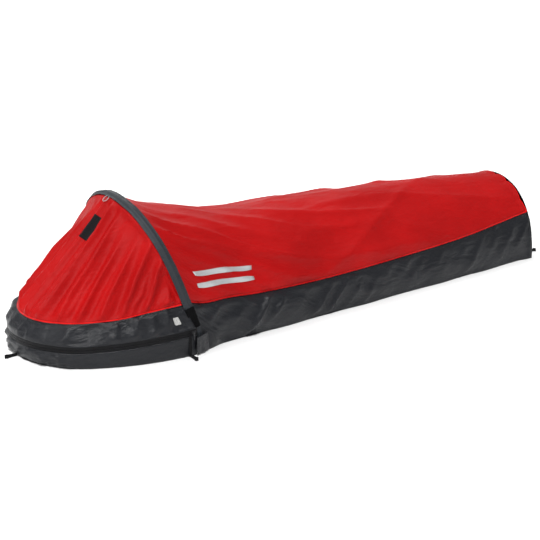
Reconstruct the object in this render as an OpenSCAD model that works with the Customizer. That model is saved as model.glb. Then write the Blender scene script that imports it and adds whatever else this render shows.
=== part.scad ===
// Single-hoop bivy sack: a waterproof shell around one sleeping bag, held up over the
// face by one bent pole. Millimetres. +Z is up, the head is at -X, the feet at +X, and the
// sleeper's right hand is at -Y. The origin is on the ground under the middle of the sack.

/* [Shell] */
// Length of the shell, from the head tip to the foot panel
shell_length = 2130; // [2100:10:2200]
// Half width of the tub round the head
head_half_width = 338; // [334:1:346]
// Radius of the nose, the round stretch of the head end
nose_radius = 280; // [270:1:290]
// Height of the head zip where it meets the pole
zip_height = 85; // [80:1:90]
// Slope of the zip plane down to the head tip, in degrees
zip_slope = 2.8; // [2:0.1:3.2]
// Thickness that stands for every fabric panel
fabric = 2; // [1.5:0.1:2]

/* [Hoop] */
// Where the pole's feet stand
hoop_x = -540; // [-545:1:-535]
// Half the distance between the pole's feet
hoop_half_width = 322; // [320:1:324]
// Height of the hoop's top above the ground
hoop_height = 490; // [480:1:500]
// How far the hoop's top leans towards the head
hoop_lean = 145; // [135:1:150]
// Radius of the bend over the top of the hoop
hoop_bend = 290; // [285:1:295]
// Outer diameter of the pole
pole_d = 8; // [7:0.5:8.5]
// Flat width of the pole sleeve
sleeve_width = 22; // [20:1:22]

/* [Zips] */
// Height of one side of the main zip's tape
tape_height = 11; // [10:0.5:12]
// How far the insect screen's zip is set inside the main zip
screen_inset = 16; // [15:0.5:18]
// How far the screen's zip is set below the main zip
screen_drop = 30; // [28:1:32]

/* [Webbing] */
// Radius of the hole in each stake loop
stake_hole_r = 6; // [5:0.5:7]
// Width of the stake loop webbing, which stands on edge
web_width = 10; // [8:1:12]

/* [Hidden] */

// Colours
red = [0.70, 0.05, 0.05];
charcoal = [0.20, 0.21, 0.22];
black = [0.06, 0.06, 0.06];
grey = [0.55, 0.56, 0.57];
white = [0.85, 0.86, 0.84];

// Sides
RIGHT = -1;
LEFT = 1;

// Room kept between neighbouring panels
gap = 0.5;

// Shell
head_x = -shell_length / 2;
foot_x = shell_length / 2;
foot_depth = 32; // from the foot seam to the sack's end
foot_bulge = 26; // how far the foot panel bulges
foot_seam_x = foot_x - foot_depth;

// Hoop: its plane leans towards the head, and its outline is a three-arc arch
hoop_rise = sqrt(hoop_height * hoop_height + hoop_lean * hoop_lean);
hoop_angle = atan2(hoop_height, hoop_lean);
sleeve_depth = 13;
sleeve_wall = 1;
sleeve_start = 152; // up the hoop, where the sleeve proper begins above the foot pocket
pocket_start = 12;
panel_edge = sleeve_width / 2 + 2; // the panels end this far each side of the hoop's plane

// The zip's plane starts on the hoop
pivot_x = hoop_x - zip_height * hoop_lean / hoop_height;
head_run = (pivot_x - head_x) / cos(zip_slope);

// Band seam round the hood, in a plane of its own
seam_rise = 186; // up the hoop
seam_slope = 5;
seam_inset_nose = 32;
hood_sag = 12; // how far the taut hood curves inwards
hood_draw = 0.3; // how much its cloth gathers towards the hoop's top

// Screen zip
screen_z = zip_height - screen_drop;
screen_half_width = head_half_width - screen_inset;
screen_nose = nose_radius - screen_inset;
screen_tape = 8;

// Zip section, as offsets outwards from the tape's outer face
tape_thick = 1;
tape_gap = 0.6;     // from the zip's middle line to each tape
coil_depth = 2.4;
coil_height = 2.2;
plate_gap = 0.4;    // running room between the slider and the zip
plate_thick = 1.2;
slider_half = 7;    // half the slider's length
slider_height = 5.5;

$fn = 96;

// ---------------------------------------------------------------- three-arc arch
// An arch of half width a and rise b whose top is an arc of radius r and whose legs are
// larger arcs, tangent to the top and square to the base. A point on it is named by q, the
// direction of its outward normal, from 0 at one foot to 180 at the other.
function leg_radius(a, b, r) = (a * a + b * b - 2 * b * r) / (2 * (a - r));
function leg_end(a, b, r) = atan2(b - r, leg_radius(a, b, r) - a);

// [across, along] at q, moved outwards by o
function arch_pt(q, a, b, r, o = 0) =
    let (R = leg_radius(a, b, r), s = leg_end(a, b, r))
    q < s ? [a - R + (R + o) * cos(q), (R + o) * sin(q)]
    : q > 180 - s ? [R - a + (R + o) * cos(q), (R + o) * sin(q)]
    : [(r + o) * cos(q), b - r + (r + o) * sin(q)];

// q at the fraction f of the arch's length
function arch_q(f, a, b, r) =
    let (R = leg_radius(a, b, r), s = leg_end(a, b, r),
         leg = R * s, top = r * (180 - 2 * s), at = f * (2 * leg + top))
    at < leg ? at / R
    : at > leg + top ? 180 - (2 * leg + top - at) / R
    : s + (at - leg) / r;

// Fraction of the arch's length that lies below a height on its leg
function arch_low(h, a, b, r) =
    let (R = leg_radius(a, b, r), s = leg_end(a, b, r))
    R * asin(h / R) / (2 * R * s + r * (180 - 2 * s));

// Half width of the arch at a height
function arch_width(h, a, b, r) =
    let (R = leg_radius(a, b, r), s = leg_end(a, b, r))
    h < R * sin(s) ? a - R + sqrt(R * R - h * h)
    : sqrt(max(0, r * r - pow(h - (b - r), 2)));

// ---------------------------------------------------------------- leaning planes
// A plane through the Y direction: its base line is at x, z, it runs towards the head at
// the angle above level, and "up" is its normal.
function plane_pt(x, z, angle, along, across, up) =
    [x - along * cos(angle) + up * sin(angle), across, z + along * sin(angle) + up * cos(angle)];

module plane_frame(x, z, angle)
    translate([x, 0, z]) rotate([0, angle, 0]) children();

module hoop_frame() plane_frame(hoop_x, 0, hoop_angle) children();
module zip_frame() plane_frame(pivot_x, zip_height, -zip_slope) children();

// Sweeps a 2D profile along an arch in its plane, from q0 to q1. The profile's x is the
// distance outwards and its y the height above the plane.
module along_arch(a, b, r, q0 = 0, q1 = 180) {
    R = leg_radius(a, b, r);
    s = leg_end(a, b, r);
    arcs = [[0, a - R, R, 0, s], [r - b, 0, r, s, 180 - s], [0, R - a, R, 180 - s, 180]];
    seam = 0.01; // a hair's gap between arcs keeps each arc a solid of its own
    for (arc = arcs) {
        from = max(q0, arc[3] + seam);
        to = min(q1, arc[4] - seam);
        if (to > from + 2 * seam)
            translate([arc[0], arc[1], 0]) rotate([0, 0, 90 + from])
                rotate_extrude(angle = to - from, $fn = 180)
                    translate([arc[2], 0]) children();
    }
}

module along_hoop(q0 = 0, q1 = 180)
    hoop_frame() along_arch(hoop_half_width, hoop_rise, hoop_bend, q0, q1) children();
module along_zip(q0 = 0, q1 = 180)
    zip_frame() along_arch(head_half_width, head_run, nose_radius, q0, q1) children();

hoop_leg = leg_radius(hoop_half_width, hoop_rise, hoop_bend);
hoop_split = leg_end(hoop_half_width, hoop_rise, hoop_bend);
zip_leg = leg_radius(head_half_width, head_run, nose_radius);

// q on the hoop's leg at a distance up the hoop
function hoop_q(rise) = asin(rise / hoop_leg);

module oblong(width, height) {
    square([height, width - height], center = true);
    for (end = [-1, 1]) translate([0, end * (width - height) / 2]) circle(d = height);
}

module bar(from, to, low, high)
    translate([from, low]) square([to - from, high - low]);

// ---------------------------------------------------------------- fabric sheets
function unit(v) = v / norm(v);
function sheet_normal(P, i, j) =
    let (n = len(P) - 1, m = len(P[0]) - 1,
         du = P[min(i + 1, n)][j] - P[max(i - 1, 0)][j],
         dv = P[i][min(j + 1, m)] - P[i][max(j - 1, 0)])
    unit(cross(du, dv));

// A closed solid between a grid of points and the same grid moved by "thick" along its
// normals. A negative thickness moves it the other way.
module sheet(P, thick) {
    n = len(P);
    m = len(P[0]);
    size = n * m;
    near = [for (i = [0:n - 1]) for (j = [0:m - 1]) P[i][j]];
    far = [for (i = [0:n - 1]) for (j = [0:m - 1]) P[i][j] + thick * sheet_normal(P, i, j)];
    rim = concat(
        [for (i = [0:n - 1]) i * m],
        [for (j = [1:m - 1]) (n - 1) * m + j],
        [for (i = [n - 2:-1:0]) i * m + m - 1],
        [for (j = [m - 2:-1:1]) j]);
    quads = [for (i = [0:n - 2]) for (j = [0:m - 2])
        [i * m + j, (i + 1) * m + j, (i + 1) * m + j + 1, i * m + j + 1]];
    one_side = [for (k = quads) each [[k[0], k[1], k[2]], [k[0], k[2], k[3]]]];
    other_side = [for (k = one_side) [k[2] + size, k[1] + size, k[0] + size]];
    border = [for (k = [0:len(rim) - 1])
        let (p = rim[k], q = rim[(k + 1) % len(rim)])
        each [[q, p, p + size], [q, p + size, q + size]]];
    faces = concat(one_side, other_side, border);
    polyhedron(
        points = concat(near, far),
        faces = thick > 0 ? faces : [for (f = faces) [f[2], f[1], f[0]]],
        convexity = 8);
}

// ---------------------------------------------------------------- body of the sack
// Stations of the body, from the hoop to the foot seam. Each is an arch that stands on the
// ground: [base x, half width, rise, top radius, lean towards the head, seam's rise]
body_start = hoop_x + panel_edge * sin(hoop_angle);
STATIONS = [
    [body_start, hoop_half_width - 1, hoop_rise - 1, hoop_bend - 1, 90 - hoop_angle, 186],
    [-475, 314, 452, 280, 12, 162],
    [-390, 308, 418, 268, 8, 155],
    [-270, 304, 375, 258, 3, 141],
    [0, 295, 357, 248, 0, 132],
    [350, 281, 335, 234, 0, 136],
    [700, 267, 315, 220, 0, 148],
    [foot_seam_x, 245, 289, 230, -3.5, 175]
];
LAST = len(STATIONS) - 1;

// A station's value at any base x, eased so that the sack has no corners along its length
function tangent(k, c) =
    k == 0 || k == LAST ? (STATIONS[min(k + 1, LAST)][c] - STATIONS[max(k - 1, 0)][c])
        / (STATIONS[min(k + 1, LAST)][0] - STATIONS[max(k - 1, 0)][0])
    : (STATIONS[k + 1][c] - STATIONS[k - 1][c]) / (STATIONS[k + 1][0] - STATIONS[k - 1][0]);
function span_of(x, k = 0) = k >= LAST - 1 || x < STATIONS[k + 1][0] ? k : span_of(x, k + 1);
function body_value(x, c) =
    let (k = span_of(x), x0 = STATIONS[k][0], d = STATIONS[k + 1][0] - x0, t = (x - x0) / d)
    (2 * t * t * t - 3 * t * t + 1) * STATIONS[k][c]
    + (t * t * t - 2 * t * t + t) * d * tangent(k, c)
    + (3 * t * t - 2 * t * t * t) * STATIONS[k + 1][c]
    + (t * t * t - t * t) * d * tangent(k + 1, c);

body_steps = 38;
// Stations lie closer together near the hoop, where the shape changes fastest
function body_x(i) = body_start + (foot_seam_x - body_start) * pow(i / body_steps, 1.35);

// A point of the body at base x and the fraction f of the arch, from the right ground edge
// over the top to the left one, moved outwards by o
function body_pt(x, f, o = 0) =
    let (a = body_value(x, 1), b = body_value(x, 2), r = body_value(x, 3),
         p = arch_pt(arch_q(f, a, b, r), a, b, r, o))
    plane_pt(x, 0, 90 - body_value(x, 4), p[1], -p[0], 0);
function seam_f(x, rise_off = 0) =
    arch_low(body_value(x, 5) + rise_off, body_value(x, 1), body_value(x, 2), body_value(x, 3));

module tub_wall(side) {
    rows = 5;
    grid = [for (i = [0:body_steps]) let (x = body_x(i))
        [for (j = [0:rows]) let (f = seam_f(x, -gap) * j / rows)
            body_pt(x, side == RIGHT ? f : 1 - f)]];
    color(charcoal) intersection() {
        sheet(grid, side == RIGHT ? fabric : -fabric);
        translate([-2000, -1000, 0]) cube([4000, 2000, 1000]);
    }
}

module top_panel() {
    columns = 22;
    grid = [for (i = [0:body_steps]) let (x = body_x(i), low = seam_f(x, gap))
        [for (j = [0:columns]) body_pt(x, low + (1 - 2 * low) * j / columns)]];
    color(red) sheet(grid, fabric);
}

// The foot panel closes the last station and bulges outwards
function foot_pt(across, rise, o = 0) =
    let (a = STATIONS[LAST][1], b = STATIONS[LAST][2], r = STATIONS[LAST][3],
         w = arch_width(rise * b, a, b, r) + o,
         bulge = sqrt(max(0, 1 - pow(abs(across), 4))) * sqrt(max(0, 1 - pow(rise, 6))))
    plane_pt(foot_seam_x + gap + (foot_bulge - gap) * bulge, 0, 90 - STATIONS[LAST][4], rise * b, across * w, 0);

module foot_panel() {
    columns = 16;
    rows = 10;
    grid = [for (i = [0:columns]) let (across = sin(90 * (2 * i / columns - 1)))
        [for (j = [0:rows]) foot_pt(across, 0.992 * sin(90 * j / rows))]];
    color(charcoal) sheet(grid, -fabric);
}

// ---------------------------------------------------------------- floor
function head_outline(o, steps = 60) = [for (k = [0:steps])
    let (p = arch_pt(180 * k / steps, head_half_width, head_run, nose_radius, o))
    [pivot_x - p[1] * cos(zip_slope), p[0]]];

module floor_2d() {
    inset = fabric + gap;
    body_side = [for (i = [0:body_steps]) let (x = body_x(i))
        [x, body_value(x, 1) - inset]];
    foot = [for (k = [1:15]) let (p = foot_pt(cos(180 * k / 16), 0))
        [p[0] - inset, p[1] * (1 - inset / STATIONS[LAST][1])]];
    polygon(concat(
        head_outline(-inset),
        [for (p = body_side) [p[0], -p[1]]],
        [for (k = [len(foot) - 1:-1:0]) foot[k]],
        [for (i = [body_steps:-1:0]) body_side[i]]));
}

module floor_panel()
    color(charcoal) linear_extrude(fabric) floor_2d();

// Round the head the tub is an upright wall that stops at the zip's lower tape
module tub_wall_head() {
    color(charcoal) intersection() {
        translate([pivot_x, 0, 0])
            along_arch(head_half_width, head_run * cos(zip_slope), nose_radius)
                bar(-fabric, 0, 0, 2 * zip_height);
        zip_frame() translate([-700, -500, -200 - tape_height - gap]) cube([760, 1000, 200]);
    }
}

// ---------------------------------------------------------------- hood
// The hood's lower edge follows the zip, its band seam lies in a plane of its own, and its
// upper edge follows the hoop.
seam_start = plane_pt(hoop_x, 0, hoop_angle, seam_rise, 0, -panel_edge);
seam_half_width = arch_width(seam_rise, hoop_half_width, hoop_rise, hoop_bend) - 1;
seam_run = (seam_start[0] - head_x - seam_inset_nose) / cos(seam_slope);
seam_nose = nose_radius - 60;

function hood_low(t, o = 0) =
    let (q = arch_q(0.006 + 0.988 * t, head_half_width, head_run, nose_radius),
         p = arch_pt(q, head_half_width, head_run, nose_radius, o))
    plane_pt(pivot_x, zip_height, -zip_slope, p[1], -p[0], tape_height + gap);
function hood_seam(t, o = 0, lift = 0) =
    let (q = arch_q(t, seam_half_width, seam_run, seam_nose),
         p = arch_pt(q, seam_half_width, seam_run, seam_nose, o))
    plane_pt(seam_start[0], seam_start[2], -seam_slope, p[1], -p[0], lift);
function hood_high(t, o = 0) =
    let (low = arch_low(seam_rise + 8, hoop_half_width, hoop_rise, hoop_bend),
         drawn = t + hood_draw * sin(360 * t) / (2 * PI),
         q = arch_q(low + (1 - 2 * low) * drawn, hoop_half_width, hoop_rise, hoop_bend),
         p = arch_pt(q, hoop_half_width, hoop_rise, hoop_bend, o - 1))
    plane_pt(hoop_x, 0, hoop_angle, p[1], -p[0], -panel_edge);

// A point of the hood at t along its edges, and s up from the band seam to the hoop
function hood_straight(s, t) = hood_seam(t, 0, gap) * (1 - s) + hood_high(t) * s;
function hood_out(s, t) =
    let (a = max(0.01, min(0.98, t)), b = min(0.98, s),
         n = cross(hood_straight(b, a + 0.01) - hood_straight(b, a),
                   hood_straight(b + 0.01, a) - hood_straight(b, a)))
    -n / norm(n);
function hood_pt(s, t, o = 0) =
    hood_straight(s, t) + hood_out(s, t) * (o - hood_sag * sin(180 * s) * sqrt(max(0, sin(180 * t))));

hood_columns = 40;

module hood_panel() {
    rows = 9;
    grid = [for (i = [0:hood_columns]) [for (j = [0:rows]) hood_pt(j / rows, i / hood_columns)]];
    color(red) sheet(grid, -fabric);
}

module hood_band() {
    rows = 4;
    bulge = 5;
    grid = [for (i = [0:hood_columns]) let (t = i / hood_columns)
        [for (j = [0:rows]) let (s = j / rows, o = bulge * 4 * s * (1 - s) * sin(180 * t))
            hood_low(t, o) * (1 - s) + hood_seam(t, o, -gap) * s]];
    color(charcoal) sheet(grid, -fabric);
}

// ---------------------------------------------------------------- pole and sleeve
module sleeve_profile() {
    difference() {
        oblong(sleeve_width, sleeve_depth);
        oblong(sleeve_width - 2 * sleeve_wall, sleeve_depth - 2 * sleeve_wall);
    }
}

module pole_sleeve()
    color(charcoal) along_hoop(hoop_q(sleeve_start), 180 - hoop_q(sleeve_start)) sleeve_profile();

module pole_pocket(side) {
    from = hoop_q(pocket_start);
    to = hoop_q(sleeve_start - gap);
    color(charcoal) along_hoop(side == LEFT ? from : 180 - to, side == LEFT ? to : 180 - from)
        sleeve_profile();
}

pole_start = 22;
pole_bore = 5;
cuts = [hoop_q(pole_start), hoop_split, 90, 180 - hoop_split, 180 - hoop_q(pole_start)];

module pole_section(number)
    color(grey) along_hoop(cuts[number - 1], cuts[number]) difference() {
        circle(d = pole_d);
        circle(d = pole_bore);
    }

// A ferrule is a tube over each joint between two sections
module pole_ferrules() {
    half = 20;
    along_leg = half / hoop_leg * 180 / PI;
    along_bend = half / hoop_bend * 180 / PI;
    spans = [
        [hoop_split - along_leg, hoop_split + along_bend],
        [90 - along_bend, 90 + along_bend],
        [180 - hoop_split - along_bend, 180 - hoop_split + along_leg]
    ];
    color(grey) for (span = spans) along_hoop(span[0], span[1]) difference() {
        circle(d = pole_d + 2.2);
        circle(d = pole_d + 0.2);
    }
}

module pole_tips() {
    spigot = 15;
    foot = 6;
    color(black) for (side = [0, 1]) {
        ends = [for (rise = [pole_start - foot, pole_start - 0.2, pole_start + spigot]) hoop_q(rise)];
        q = [for (e = ends) side == 0 ? e : 180 - e];
        along_hoop(min(q[0], q[1]), max(q[0], q[1])) circle(d = pole_d);
        along_hoop(min(q[1], q[2]), max(q[1], q[2])) circle(d = pole_bore - 0.3);
    }
}

module shock_cord() {
    from = hoop_q(pole_start + 16);
    color(white) along_hoop(from, 180 - from) circle(d = 2.6);
}

// ---------------------------------------------------------------- main zip
zip_end_q = 0.6; // the zip stops just short of the fold's axis

module zip_tape(up)
    color(black) along_zip(zip_end_q, 180 - zip_end_q)
        bar(-tape_thick, 0, up ? tape_gap : -tape_height, up ? tape_height : -tape_gap);

module zip_coil(up) {
    inner = -tape_thick - 0.05 - coil_depth;
    color(black) along_zip(zip_end_q, 180 - zip_end_q)
        bar(inner, inner + coil_depth, up ? tape_gap : -tape_gap - coil_height,
            up ? tape_gap + coil_height : -tape_gap);
}

// Slider: a plate on each face of the zip, a fin between the two tapes, and a staple on
// each plate that a pull hangs from. It is placed by its distance from the hoop.
slider_at = 19;
slider_q = asin(slider_at / zip_leg);
staple_out = 2.4; // from a plate to the middle of its staple's rod
outer_plate = plate_gap;
inner_plate = -tape_thick - 0.05 - coil_depth - plate_gap;
outer_rod = outer_plate + plate_thick + staple_out;
inner_rod = inner_plate - plate_thick - staple_out;

// Puts children at the slider, with X along the zip away from the hoop, Y outwards, Z up
module at_slider(side)
    mirror([0, side == LEFT ? 1 : 0, 0]) zip_frame()
        translate([0, zip_leg - head_half_width, 0]) rotate([0, 0, -slider_q])
            translate([0, -zip_leg, 0]) rotate([0, 0, 180]) children();

module slider(side) {
    half = slider_half / zip_leg * 180 / PI;
    q = side == LEFT ? slider_q : 180 - slider_q;
    color(black) {
        along_zip(q - half, q + half) {
            bar(outer_plate, outer_plate + plate_thick, -slider_height, slider_height);
            bar(inner_plate - plate_thick, inner_plate, -slider_height, slider_height);
            bar(inner_plate - 0.1, outer_plate + 0.1, -0.3, 0.3);
        }
        at_slider(side) {
            staple(outer_rod, outer_plate + plate_thick - 0.2);
            staple(inner_rod, inner_plate - plate_thick + 0.2);
        }
    }
}

module staple(rod, root) {
    rotate([0, 90, 0]) translate([0, rod, -5]) cylinder(r = 0.8, h = 10, $fn = 48);
    for (end = [-1, 1])
        translate([end * 4.4 - 0.6, min(rod, root), -0.8]) cube([1.2, abs(rod - root), 1.6]);
}

// A pull is a tube round the rod, a tab, and a longer cord grip below it
module pull_shape() {
    difference() {
        union() {
            rotate([0, 90, 0]) translate([0, 0, -3]) cylinder(r = 2, h = 6, $fn = 48);
            translate([-3, -0.6, -16]) cube([6, 1.2, 15]);
        }
        rotate([0, 90, 0]) translate([0, 0, -4]) cylinder(r = 1, h = 8, $fn = 48);
    }
    translate([0, 0, -26]) cylinder(r = 2.2, h = 12, $fn = 48);
}

module pull(side, rod)
    color(black) at_slider(side) translate([0, rod, 0]) pull_shape();

// ---------------------------------------------------------------- insect screen
screen_x = hoop_x - screen_z * hoop_lean / hoop_height - 24;
screen_length = (screen_x - head_x) / cos(zip_slope) - screen_inset;
screen_leg = leg_radius(screen_half_width, screen_length, screen_nose);

module along_screen_zip(q0, q1)
    plane_frame(screen_x, screen_z, -zip_slope)
        along_arch(screen_half_width, screen_length, screen_nose, q0, q1) children();

module screen_tape(up)
    color(black) along_screen_zip(zip_end_q, 180 - zip_end_q)
        bar(-tape_thick, 0, up ? tape_gap : -screen_tape, up ? screen_tape : -tape_gap);

function screen_low(t) =
    let (q = arch_q(0.008 + 0.984 * t, screen_half_width, screen_length, screen_nose),
         p = arch_pt(q, screen_half_width, screen_length, screen_nose))
    plane_pt(screen_x, screen_z, -zip_slope, p[1], -p[0], screen_tape + gap);
function screen_high(t) =
    let (low = arch_low(70, hoop_half_width, hoop_rise, hoop_bend),
         q = arch_q(low + (1 - 2 * low) * t, hoop_half_width, hoop_rise, hoop_bend),
         p = arch_pt(q, hoop_half_width, hoop_rise, hoop_bend, -12))
    plane_pt(hoop_x, 0, hoop_angle, p[1], -p[0], -panel_edge - 3);

module insect_screen() {
    columns = 34;
    rows = 6;
    grid = [for (i = [0:columns]) let (t = i / columns)
        [for (j = [0:rows]) let (s = j / rows) screen_low(t) * (1 - s) + screen_high(t) * s]];
    color(black) sheet(grid, -1);
}

screen_q = asin(14 / screen_leg);
module at_screen_slider()
    plane_frame(screen_x, screen_z, -zip_slope)
        translate([0, screen_leg - screen_half_width, 0]) rotate([0, 0, -screen_q])
            translate([0, -screen_leg, 0]) rotate([0, 0, 180]) children();

module screen_slider() {
    half = 5.5 / screen_leg * 180 / PI;
    color(black) {
        along_screen_zip(180 - screen_q - half, 180 - screen_q + half) {
            bar(0.4, 1.4, -4, 4);
            bar(-2.4, -1.4, -4, 4);
            bar(-1.5, 0.5, -0.3, 0.3);
        }
        at_screen_slider() staple(-2.4 - staple_out, -2.2);
    }
}

module screen_pull()
    color(black) at_screen_slider() translate([0, -2.4 - staple_out, 0]) pull_shape();

// ---------------------------------------------------------------- pole foot
// A flap over each pole foot, sewn along its rear edge, and a hook-and-loop tab above it
flap_low = 8;
flap_high = 69;
flap_rear = [-519, -325.5];
flap_front = [-577, -346];

module pole_flap(side) {
    run = flap_front - flap_rear;
    long = norm(run);
    turn = atan2(run[1], run[0]);
    radius = 16;
    color(charcoal) mirror([0, side == LEFT ? 1 : 0, 0])
        translate([flap_rear[0], flap_rear[1], 0]) rotate([0, 0, turn])
            translate([0, fabric, 0]) rotate([90, 0, 0]) linear_extrude(fabric) {
                translate([0, flap_low]) square([long - radius, flap_high - flap_low]);
                translate([0, flap_low + radius]) square([long, flap_high - flap_low - radius]);
                translate([long - radius, flap_low + radius]) circle(radius);
            }
}

tab_low = 98;
tab_high = 168;
module zip_tab(side) {
    from = hoop_q(tab_low);
    to = hoop_q(tab_high);
    q = side == LEFT ? [from, to] : [180 - to, 180 - from];
    color(black) along_hoop(q[0], q[1]) bar(8, 9.5, -7, 10);
}

// ---------------------------------------------------------------- webbing
// A loop of webbing on edge: an eye for a stake and a neck sewn to the shell, lying along
// +X with the eye at the origin
module stake_loop(neck) {
    wall = 1.8;
    color(black) linear_extrude(web_width) difference() {
        union() {
            circle(stake_hole_r + wall);
            translate([0, -2]) square([neck, 4]);
        }
        circle(stake_hole_r);
    }
}

loop_reach = 45;
eye_reach = loop_reach - stake_hole_r - 1.8;
loop_z = 1;

module stake_loop_head()
    translate([head_x - eye_reach, 0, loop_z]) stake_loop(eye_reach - gap);

foot_eye_y = 190;
module stake_loop_foot(side)
    translate([foot_x + eye_reach, side * foot_eye_y, loop_z]) rotate([0, 0, 180])
        stake_loop(eye_reach + 8);

strap_x = -598;
strap_y = head_half_width - 0.4;
riser_top = 72;

// A stake loop at the pole's foot, and the flat webbing that rises from it to the pole pocket
module stake_strap(side)
    mirror([0, side == RIGHT ? 1 : 0, 0])
        translate([strap_x, strap_y + eye_reach, loop_z]) rotate([0, 0, -90]) stake_loop(eye_reach - 1);

module stake_riser(side)
    mirror([0, side == RIGHT ? 1 : 0, 0])
        color(black) translate([strap_x - 5, strap_y, loop_z]) cube([10, 0.8, riser_top - loop_z]);

module guy_loop()
    color(grey) hoop_frame()
        translate([-hoop_rise - sleeve_depth / 2 - 2.4, 0, -12]) rotate([0, 90, 0])
            rotate_extrude($fn = 96) translate([11, 0]) circle(d = 3);

// Inside straps that hold a sleeping pad
module pad_strap(x) {
    half = body_value(x, 1) - 12;
    low = fabric + gap;
    color(black) {
        translate([x - 12.5, -half, low + 18]) cube([25, 2 * half, 1.2]);
        for (side = [-1, 1])
            translate([x - 12.5, side * (half - 0.6) - 0.6, low]) cube([25, 1.2, 19.2]);
    }
}

module inner_pocket() {
    grid = [for (i = [0:6]) let (x = -440 + 150 * i / 6)
        [for (j = [0:4]) body_pt(x, 1 - 0.05 - 0.13 * j / 4, -3)]];
    color(black) sheet(grid, 1);
}

// ---------------------------------------------------------------- patches
module reflective_patch() {
    for (low = [0.178, 0.212]) {
        grid = [for (i = [0:8]) let (x = -478 + 200 * i / 8)
            [for (j = [0:2]) body_pt(x, low + 0.016 * j / 2, fabric + 0.6)]];
        color(grey) sheet(grid, 0.6);
    }
}

module hood_patch() {
    grid = [for (i = [0:6]) let (t = 0.455 + 0.06 * i / 6)
        [for (j = [0:3]) hood_pt(0.6 + 0.2 * j / 3, t, fabric + 1)]];
    color(black) sheet(grid, -0.6);
}

module band_label() {
    grid = [for (i = [0:4]) let (t = 0.03 + 0.018 * i / 4)
        [for (j = [0:2]) let (s = 0.25 + 0.3 * j / 2)
            hood_low(t, fabric + 6) * (1 - s) + hood_seam(t, fabric + 6, -gap) * s]];
    color(white) sheet(grid, -0.6);
}

floor_panel();  // floor
tub_wall(RIGHT);  // tub_wall_right
tub_wall(LEFT);  // tub_wall_left
tub_wall_head();
foot_panel();
top_panel();
hood_panel();
hood_band();
pole_sleeve();
pole_pocket(RIGHT);  // pole_pocket_right
pole_pocket(LEFT);  // pole_pocket_left
pole_section(1);  // pole_section_1
pole_section(2);  // pole_section_2
pole_section(3);  // pole_section_3
pole_section(4);  // pole_section_4
pole_ferrules();
pole_tips();
shock_cord();
zip_tape(false);  // zip_tape_lower
zip_coil(false);  // zip_coil_lower
zip_tape(true);  // zip_tape_upper
zip_coil(true);  // zip_coil_upper
slider(RIGHT);  // slider_right
pull(RIGHT, outer_rod);  // pull_right_outer
pull(RIGHT, inner_rod);  // pull_right_inner
slider(LEFT);  // slider_left
pull(LEFT, outer_rod);  // pull_left_outer
pull(LEFT, inner_rod);  // pull_left_inner
insect_screen();
screen_tape(false);  // screen_tape_lower
screen_tape(true);  // screen_tape_upper
screen_slider();
screen_pull();
zip_tab(RIGHT);  // zip_tab_right
zip_tab(LEFT);  // zip_tab_left
pole_flap(RIGHT);  // pole_flap_right
pole_flap(LEFT);  // pole_flap_left
stake_loop_head();
stake_loop_foot(RIGHT);  // stake_loop_foot_right
stake_loop_foot(LEFT);  // stake_loop_foot_left
stake_strap(RIGHT);  // stake_strap_right
stake_strap(LEFT);  // stake_strap_left
stake_riser(RIGHT);  // stake_riser_right
stake_riser(LEFT);  // stake_riser_left
guy_loop();
pad_strap(-330);  // pad_strap_shoulder
pad_strap(120);  // pad_strap_hip
pad_strap(560);  // pad_strap_knee
inner_pocket();
reflective_patch();
hood_patch();
band_label();
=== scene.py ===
"""Looks of the single-hoop bivy sack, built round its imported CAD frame.

Metres. +Z up, the head at -X, the feet at +X, the sleeper's right hand at -Y.
"""

import math

import bpy
import numpy as np
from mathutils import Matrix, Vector


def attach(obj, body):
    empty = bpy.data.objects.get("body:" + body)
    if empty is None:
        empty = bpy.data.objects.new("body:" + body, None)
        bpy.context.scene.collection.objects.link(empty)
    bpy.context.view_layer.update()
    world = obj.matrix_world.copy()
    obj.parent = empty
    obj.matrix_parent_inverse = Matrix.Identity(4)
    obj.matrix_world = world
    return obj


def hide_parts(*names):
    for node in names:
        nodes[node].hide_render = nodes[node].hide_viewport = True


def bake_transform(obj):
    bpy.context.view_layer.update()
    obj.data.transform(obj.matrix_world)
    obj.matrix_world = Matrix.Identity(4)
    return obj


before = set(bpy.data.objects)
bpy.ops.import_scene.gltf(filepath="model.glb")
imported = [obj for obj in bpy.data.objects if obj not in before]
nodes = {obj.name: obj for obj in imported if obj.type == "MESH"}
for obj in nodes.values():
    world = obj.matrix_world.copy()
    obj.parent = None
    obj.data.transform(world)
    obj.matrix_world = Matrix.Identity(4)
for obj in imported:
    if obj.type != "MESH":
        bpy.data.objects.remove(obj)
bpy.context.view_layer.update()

# ---------------------------------------------------------------- camera
CAMERA_AZIMUTH = math.radians(-34.91)
CAMERA_ELEVATION = math.radians(19.37)
CAMERA_DISTANCE = 5.752
CAMERA_TARGET = (-0.0495, -0.0115, 0.1005)
LENS_MM, SENSOR_MM = 105.5, 36


def make_camera():
    """The camera, at its distance from the target along its azimuth and elevation."""
    flat = math.cos(CAMERA_ELEVATION)
    back = Vector((math.sin(CAMERA_AZIMUTH) * flat, -math.cos(CAMERA_AZIMUTH) * flat,
                   math.sin(CAMERA_ELEVATION)))
    data = bpy.data.cameras.new("camera")
    data.sensor_width = SENSOR_MM
    data.lens = LENS_MM
    data.clip_end = 60
    obj = bpy.data.objects.new("camera", data)
    obj.location = Vector(CAMERA_TARGET) + back * CAMERA_DISTANCE
    obj.rotation_mode = "QUATERNION"
    obj.rotation_quaternion = (-back).to_track_quat("-Z", "Y")
    bpy.context.scene.collection.objects.link(obj)
    bpy.context.scene.camera = obj


make_camera()
bpy.context.scene.view_settings.view_transform = "Standard"

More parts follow.
